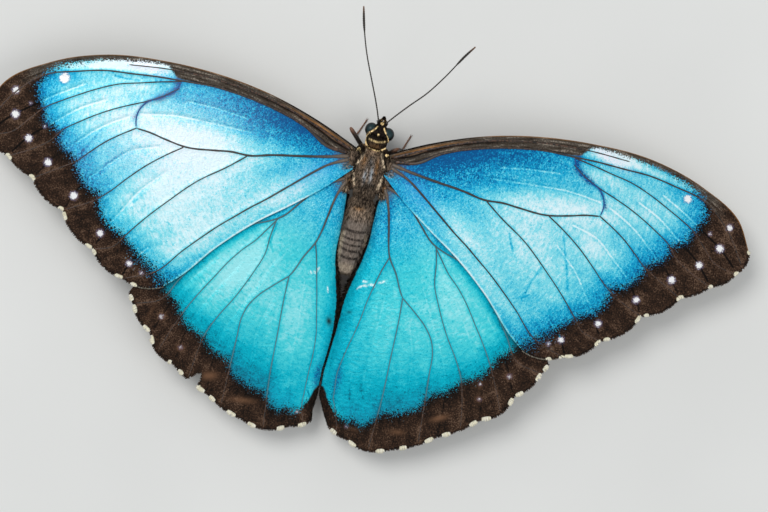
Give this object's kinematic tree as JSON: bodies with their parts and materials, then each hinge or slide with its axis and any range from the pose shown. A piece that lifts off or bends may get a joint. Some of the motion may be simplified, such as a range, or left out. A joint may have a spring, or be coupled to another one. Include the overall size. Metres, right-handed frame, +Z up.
{
  "type": "blue morpho butterfly",
  "caption": "Blue butterfly resting with its wings spread flat, dark wing borders with white spots, brown body, slender antennae, standing on its legs.",
  "frame": {"origin": "the middle of the underside of the whole model's box, on the plane that the feet stand on", "axes": "+X towards the butterfly's right wing tip, +Y towards its head, +Z up"},
  "size_m": [0.1408, 0.0776, 0.0189],
  "materials": {
    "forewing_scales": "pearly blue scales with a dark brown border, silky sheen",
    "hindwing_scales": "pearly turquoise scales with a dark brown border, silky sheen",
    "body_coat": "short brown-grey hair over dark cuticle",
    "eye_cornea": "smooth glossy facets, dark green-blue",
    "antenna_cuticle": "finely ringed dark cuticle",
    "palp_scales": "dense short scales",
    "proboscis_cuticle": "ringed brown cuticle",
    "leg_cuticle": "dark scaled cuticle"
  },
  "bodies": {
    "root": {"forewing_left": "forewing_scales", "forewing_right": "forewing_scales", "hindwing_left": "hindwing_scales", "hindwing_right": "hindwing_scales", "thorax": "body_coat", "abdomen": "body_coat", "prothorax": "body_coat", "head": "body_coat", "eye_left": "eye_cornea", "eye_right": "eye_cornea", "antenna_left": "antenna_cuticle", "antenna_right": "antenna_cuticle", "palp_left": "palp_scales", "palp_right": "palp_scales", "proboscis": "proboscis_cuticle", "foreleg_left": "leg_cuticle", "foreleg_right": "leg_cuticle", "midleg_left": "leg_cuticle", "midleg_right": "leg_cuticle", "hindleg_left": "leg_cuticle", "hindleg_right": "leg_cuticle"}
  },
  "joints": []
}
